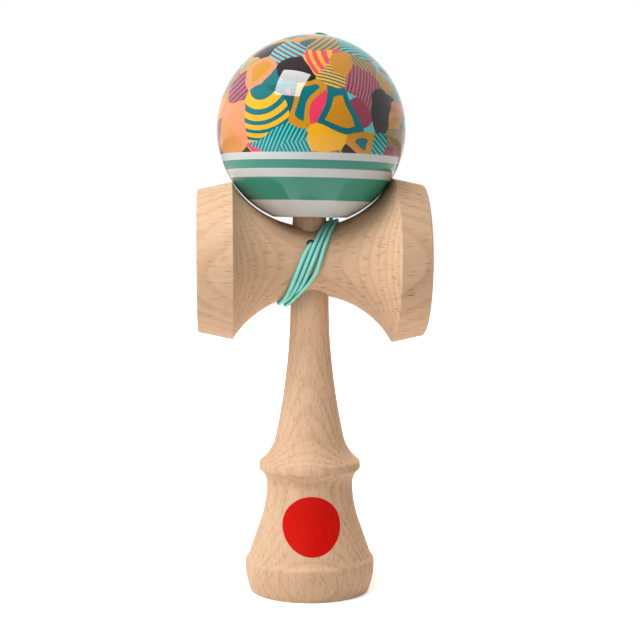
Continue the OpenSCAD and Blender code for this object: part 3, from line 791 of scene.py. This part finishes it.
def lacquer(name, s, c):
    """The ball's paint under a clear coat: stripes on white below, and above them a patchwork of the
    cells of a scattered pattern. Some have fine lines, some a second colour inside, a few are near black."""
    f = Finish(name)
    middle = ball_place(s)([[0, 0, 0]])[0] * MM
    moved = f.here(place=tuple(-v for v in middle))
    own = f.add("Mapping", {"Vector": moved, "Rotation": (0, -s["ball_lean"] - PAINT_LEAN, 0)}).outputs[0]
    height = f.add("SeparateXYZ", {0: own}).outputs[2]
    sway = f.vector("SUBTRACT", f.noise(own, SWAY_SCALE, 1.0, output="Color"), MID_GREY)
    at = f.vector("ADD", f.vector("ADD", own, f.vector("SCALE", sway, scale=SWAY_REACH)), PATTERN_SHIFT)
    pattern = {"Vector": at, "Scale": CELL_SCALE, "Randomness": CELL_RANDOM}
    cell = f.add("TexVoronoi", pattern).outputs["Color"]
    edge = f.add("TexVoronoi", pattern, feature="DISTANCE_TO_EDGE").outputs["Distance"]
    draw = f.add("SeparateColor", {0: cell}).outputs
    count = len(PATCH_COLOURS)

    def patch_ramp(step):
        stops = [(k / count, (*PATCH_COLOURS[(k + step) % count], 1)) for k in range(count)]
        return f.ramp(draw[0], stops, "CONSTANT")

    first, second = patch_ramp(0), patch_ramp(SECOND_STEP)
    line_way = f.vector("NORMALIZE", f.vector("SUBTRACT", cell, MID_GREY))
    along = f.math("MULTIPLY", f.vector("DOT_PRODUCT", own, line_way), LINES)
    lines = f.math("GREATER_THAN", f.math("FRACT", along), LINE_SHARE)
    lined = f.math("MULTIPLY", lines, f.math("GREATER_THAN", draw[1], LINED_OVER))
    inside = f.math("MULTIPLY", f.math("GREATER_THAN", edge, INSIDE_EDGE),
                    f.math("LESS_THAN", draw[1], INSIDE_UNDER))
    patch = f.mix(inside, f.mix(lined, first, second), second)
    patch = f.mix(f.math("GREATER_THAN", draw[2], GROUND_OVER), patch, GROUND)
    reach = s["ball_d"] / 2
    stripes = [(0.0, c["ball_white"])]
    for k, z in enumerate(STRIPE_HEIGHTS):
        stripes.append(((z + reach) / (2 * reach), c["ball_white"] if k % 2 else c["stripe_teal"]))
    bands = f.ramp(f.span(height, -reach * MM, reach * MM), stripes, "CONSTANT")
    tint = f.mix(f.math("GREATER_THAN", height, PATCH_HEIGHT * MM), bands, patch)
    wave = f.noise(own, LACQUER_WAVE, 1.0)
    f.surface(tint, wave, LACQUER_ROUGH, LACQUER_BUMP)
    f.set(Coat_Weight=1.0, Coat_Roughness=COAT_ROUGH, Coat_IOR=COAT_IOR, Specular_IOR_Level=0.0)
    return f.owner


def braid(name, c):
    """Braided polyester: pale crests, and painted shade in the grooves and on the side facing the core by the
    braid value, with fibres and a faint sheen.
    """
    f = Finish(name)
    height = f.add("Attribute", attribute_name="braid").outputs["Fac"]
    fibre, fade = f.noise(f.here(), FIBRE_SCALE), f.noise(f.here(), FADE_SCALE)
    # Painted shade: the braid value darkens the grooves and the side that faces what the string lies on.
    share = f.math("ADD", f.span(height, *CREST_SPAN), f.span(fibre, *NOISE_MID, -FIBRE_SHARE, FIBRE_SHARE))
    share = f.math("MINIMUM", f.math("MAXIMUM", share, 0.0), 1.0)
    tint = f.mix(share, c["string_dark"], c["string_pale"])
    tint = f.mix(f.span(fade, *FADE_SPAN, 0.0, FADE_SHARE), tint, FADE_COLOUR)
    f.surface(tint, fibre, FIBRE_ROUGH, FIBRE_BUMP)
    f.set(Sheen_Weight=STRING_SHEEN, Sheen_Roughness=SHEEN_ROUGH, Specular_IOR_Level=STRING_SHINE)
    return f.owner


def turned_bead(name, c):
    """Bare turned wood with fine rings one above the other."""
    f = Finish(name)
    grain = f.noise(f.here(scale=BEAD_SCALE), detail=3.0)
    share = f.span(grain, *NOISE_MID, 0.0, BEAD_SHARE)
    tint = f.mix(share, c["bead_wood"], darker(c["bead_wood"], BEAD_DARK))
    f.surface(tint, grain, BEAD_ROUGH, BEAD_BUMP)
    return f.owner


def finish_piece(piece, material, body, slot, *nodes):
    """Gives a piece its finish and its body, and hides the nodes that it stands for. The slot is not used."""
    piece.data.materials.append(material)
    if body:
        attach(piece, body)
    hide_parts(*nodes)


# Operators

class KENDAMA_OT_ken(bpy.types.Operator):
    """Turns the ken and gives it its beech and the red disc"""
    bl_idname = "kendama.ken"
    bl_label = "Ken"

    def execute(self, context):
        s, c = sizes(), colours()
        disc = (DISC_X, DISC_Z, s["disc_d"] / 2 * MM)
        material = beech("beech_upright", KEN_GRAIN, KEN_PITH, KEN_RINGS, KEN_PORES, c, disc)
        finish_piece(build_ken(s), material, "ken", "beech", "ken")
        return {"FINISHED"}


class KENDAMA_OT_sarado(bpy.types.Operator):
    """Turns the cup piece with its bore and string hole"""
    bl_idname = "kendama.sarado"
    bl_label = "Cup piece"

    def execute(self, context):
        s, c = sizes(), colours()
        material = beech("beech_across", CUP_GRAIN, CUP_PITH, CUP_RINGS, CUP_PORES, c)
        finish_piece(build_sarado(s), material, "ken", "beech", "sarado")
        return {"FINISHED"}


class KENDAMA_OT_ball(bpy.types.Operator):
    """Turns the ball and lacquers it"""
    bl_idname = "kendama.ball"
    bl_label = "Ball"

    def execute(self, context):
        s, c = sizes(), colours()
        finish_piece(build_ball(s), lacquer("ball_lacquer", s, c), "ball", "ball_lacquer", "tama")
        return {"FINISHED"}


class KENDAMA_OT_bead(bpy.types.Operator):
    """Turns the bead that holds the string in the ball"""
    bl_idname = "kendama.bead"
    bl_label = "Bead"

    def execute(self, context):
        s, c = sizes(), colours()
        finish_piece(build_bead(s), turned_bead("bead_wood", c), "string_end", "bead_wood", "bead")
        return {"FINISHED"}


class KENDAMA_OT_string(bpy.types.Operator):
    """Lays the string round the waist and over the ball, and ties its two knots"""
    bl_idname = "kendama.string"
    bl_label = "String"

    def execute(self, context):
        s, c = sizes(), colours()
        material = braid("string_braid", c)
        radius = s["cord_d"] / 2
        around, over = (bell_mean(even_path(p, PATH_STEP)[0], PATH_BELL) for p in string_routes(s))
        place = ball_place(s)
        ball_middle = place([[0, 0, 0]])[0]

        def from_waist(p):
            return p * [0, 1, 1] - [0, 0, s["sarado_z"]]

        def from_ball(p):
            return p - ball_middle

        def from_middle(p):
            return p - p.mean(0)

        wound, wound_path, wound_length = braided_tube("string_wound", around, radius, (1, 0, 0), from_waist)
        finish_piece(wound, material, "ken", "string", "string_winding")
        run, run_path, run_length = braided_tube("string_over_ball", over, radius, RUN_SIDE, from_ball,
                                                 wound_length / MM)
        finish_piece(run, material, None, "string", "string_riser", "string_tail")
        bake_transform(run)
        knot_z = ball_marks(s)[-1] - (s["bead_d"] + BEAD_KNOT_D) / 2 - TAIL_GAP
        seats = (("anchor_knot_tied", ANCHOR_KNOT_D, "ken", "anchor_knot",
                  lambda p: p + [HOLE_X, KNOT_Y, s["sarado_z"] + HOLE_RISE]),
                 ("bead_knot_tied", BEAD_KNOT_D, "string_end", "bead_knot",
                  lambda p: place(p + [0, 0, knot_z])))
        knots = {}
        for name, size, body, node, seat in seats:
            knot_r = size / KNOT_CORDS
            knots[name] = braided_tube(name, seat(knot_path(size, knot_r)), knot_r, (0, 0, 1), from_middle,
                                       sides=KNOT_SIDES, step=KNOT_STEP)[0]
            finish_piece(knots[name], material, body, "string", node)
        return {"FINISHED"}


# Stage

CAMERA_AT = (-0.02946, -0.44578, 0.11938)
CAMERA_WAY = (0.07336, 0.99491, -0.06908)
CAMERA_LENS, SENSOR, CLIP_START = 77.44, 36.0, 0.01
WORLD_LIGHT, FRONT_DARK, FRONT_SPAN = 0.11, 0.15, (-0.95, -0.1)
FLOOR_HALF, FLOOR_ROUGH, FLOOR_GLOW, GLOW_SPAN = 3.0, 0.9, 0.42, (0.25, 1.2)
SPECK_SCALE, SPECK_SHARE, SPECK_COLOUR = 30.0, 0.1, (0.77, 0.77, 0.77, 1)
MIRROR_SPAN, MIRROR_FADE = (0.1, 0.7), 0.85
SHEET_AT, SHEET_TARGET, SHEET_HALF = (-0.245, -0.32, 0.655), (0, 0, 0.15), (0.17, 0.18)
SHEET_SPAN, SHEET_GLOW = (0.5, 0.8), (13.0, 21.0)
WORLD_TINT = (1, 0.87, 0.75, 1)
WHITE_LIGHT, WARM_LIGHT = (0.95, 1.0, 1.03), (1, 0.9, 0.8)
LIGHTS = (
    ("key_light", (-0.3, -0.36, 0.74), 0.4, 5.8, WHITE_LIGHT),
    ("side_light", (-0.85, -0.1, 0.5), 0.6, 3.6, WHITE_LIGHT),
    ("back_light", (0.35, 0.95, 0.6), 0.6, 12.5, WARM_LIGHT),
    ("fill_light", (0.75, -0.5, 0.6), 0.6, 0.5, WARM_LIGHT),
)
TARGET = (0, 0, 0.1)


def area_light(name, at, size, power, tint):
    """A square soft light of a tint, aimed at the object."""
    lamp = bpy.data.lights.new(name, "AREA")
    lamp.size, lamp.energy, lamp.color = size, power, tint
    light = bpy.data.objects.new(name, lamp)
    light.location = at
    light.rotation_euler = (Vector(TARGET) - Vector(at)).to_track_quat("-Z", "Y").to_euler()
    light.visible_glossy = False
    bpy.context.scene.collection.objects.link(light)


def stage_sheet(name, points):
    """A flat four-cornered sheet of the stage."""
    mesh = bpy.data.meshes.new(name)
    mesh.from_pydata([tuple(p) for p in points], [], [(0, 1, 2, 3)])
    sheet = bpy.data.objects.new(name, mesh)
    bpy.context.scene.collection.objects.link(sheet)
    return sheet


class KENDAMA_OT_stage(bpy.types.Operator):
    """Sets the camera, the floor, the white surround and the lights"""
    bl_idname = "kendama.stage"
    bl_label = "Stage"

    def execute(self, context):
        c = colours()
        scene = context.scene
        scene.view_settings.view_transform = "Standard"
        lens = bpy.data.cameras.new("camera")
        lens.lens, lens.sensor_width = CAMERA_LENS, SENSOR
        lens.clip_start = CLIP_START
        camera = bpy.data.objects.new("camera", lens)
        camera.location = CAMERA_AT
        camera.rotation_euler = Vector(CAMERA_WAY).to_track_quat("-Z", "Y").to_euler()
        scene.collection.objects.link(camera)
        scene.camera = camera

        w = Finish("white_surround", "worlds", "BACKGROUND")
        scene.world = w.owner
        around = w.add("SeparateXYZ", {0: w.add("TexCoord").outputs["Generated"]}).outputs["Y"]
        front = w.add("MapRange", {0: around, 1: FRONT_SPAN[0], 2: FRONT_SPAN[1], 3: FRONT_DARK, 4: 1.0},
                      interpolation_type="SMOOTHSTEP").outputs[0]
        watched = w.watched()
        level = w.add("Mix", {"Factor": watched, 2: WORLD_LIGHT, 3: front}).outputs[0]
        shown = w.math("MAXIMUM", level, w.add("LightPath").outputs["Is Camera Ray"])
        w.set(Strength=shown, Color=w.mix(watched, WORLD_TINT, WHITE))

        far = FLOOR_HALF
        floor = stage_sheet("floor", [(-far, -far, 0), (far, -far, 0), (far, far, 0), (-far, far, 0)])
        f = Finish("floor_white")
        speck = f.noise(f.here(), SPECK_SCALE)
        tint = f.mix(f.span(speck, *NOISE_MID, 0.0, SPECK_SHARE), c["floor"], SPECK_COLOUR)
        away = f.vector("LENGTH", f.here())
        mirrored = f.add("LightPath").outputs["Is Glossy Ray"]
        fade = f.math("MULTIPLY", mirrored, f.span(away, *MIRROR_SPAN, 0.0, MIRROR_FADE))
        shown = f.math("MULTIPLY", f.watched(), f.math("SUBTRACT", 1.0, fade))
        glow = f.math("MULTIPLY", shown, f.span(away, *GLOW_SPAN, FLOOR_GLOW, 1.0))
        f.set(Base_Color=tint, Roughness=FLOOR_ROUGH, Emission_Color=WHITE, Emission_Strength=glow)
        floor.data.materials.append(f.owner)

        # Bright sheet up left of the camera that only mirrored rays see
        middle = Vector(SHEET_AT)
        facing = (Vector(SHEET_TARGET) - middle).normalized()
        across = facing.cross(Vector((0, 0, 1))).normalized()
        wide, tall = across * SHEET_HALF[0], across.cross(facing) * SHEET_HALF[1]
        corners = [middle + wide * u + tall * v for u, v in ((-1, -1), (1, -1), (1, 1), (-1, 1))]
        card = stage_sheet("highlight_sheet", corners)
        f = Finish("highlight_glow")
        shade = f.span(f.add("SeparateXYZ", {0: f.here()}).outputs[2], *SHEET_SPAN, *SHEET_GLOW)
        f.set(Base_Color=BLACK, Emission_Color=WHITE, Emission_Strength=shade)
        card.data.materials.append(f.owner)
        card.visible_camera = card.visible_diffuse = card.visible_shadow = False

        for light in LIGHTS:
            area_light(*light)
        return {"FINISHED"}


class KENDAMA_PT_panel(bpy.types.Panel):
    """Lists the pieces, their sizes and their colours"""
    bl_idname = "KENDAMA_PT_panel"
    bl_label = "Kendama"
    bl_space_type = "VIEW_3D"
    bl_region_type = "UI"
    bl_category = "Kendama"

    def draw(self, context):
        for operator in OPERATORS:
            self.layout.operator(operator.bl_idname)
        for group in (context.scene.kendama_sizes, context.scene.kendama_colours):
            for name in group.__annotations__:
                self.layout.prop(group, name)


OPERATORS = (KENDAMA_OT_stage, KENDAMA_OT_string, KENDAMA_OT_ken, KENDAMA_OT_sarado, KENDAMA_OT_ball,
             KENDAMA_OT_bead)
CLASSES = (KendamaSizes, KendamaColours, *OPERATORS, KENDAMA_PT_panel)


def register():
    """Registers the classes and the scene's two groups of values."""
    for item in CLASSES:
        bpy.utils.register_class(item)
    bpy.types.Scene.kendama_sizes = PointerProperty(type=KendamaSizes)
    bpy.types.Scene.kendama_colours = PointerProperty(type=KendamaColours)


def unregister():
    """Takes them away again."""
    del bpy.types.Scene.kendama_sizes, bpy.types.Scene.kendama_colours
    for item in reversed(CLASSES):
        bpy.utils.unregister_class(item)


def main():
    """Builds everything in order."""
    register()
    bpy.ops.kendama.stage()
    bpy.ops.kendama.string()
    bpy.ops.kendama.ken()
    bpy.ops.kendama.sarado()
    bpy.ops.kendama.ball()
    bpy.ops.kendama.bead()


if __name__ == "__main__":
    main()
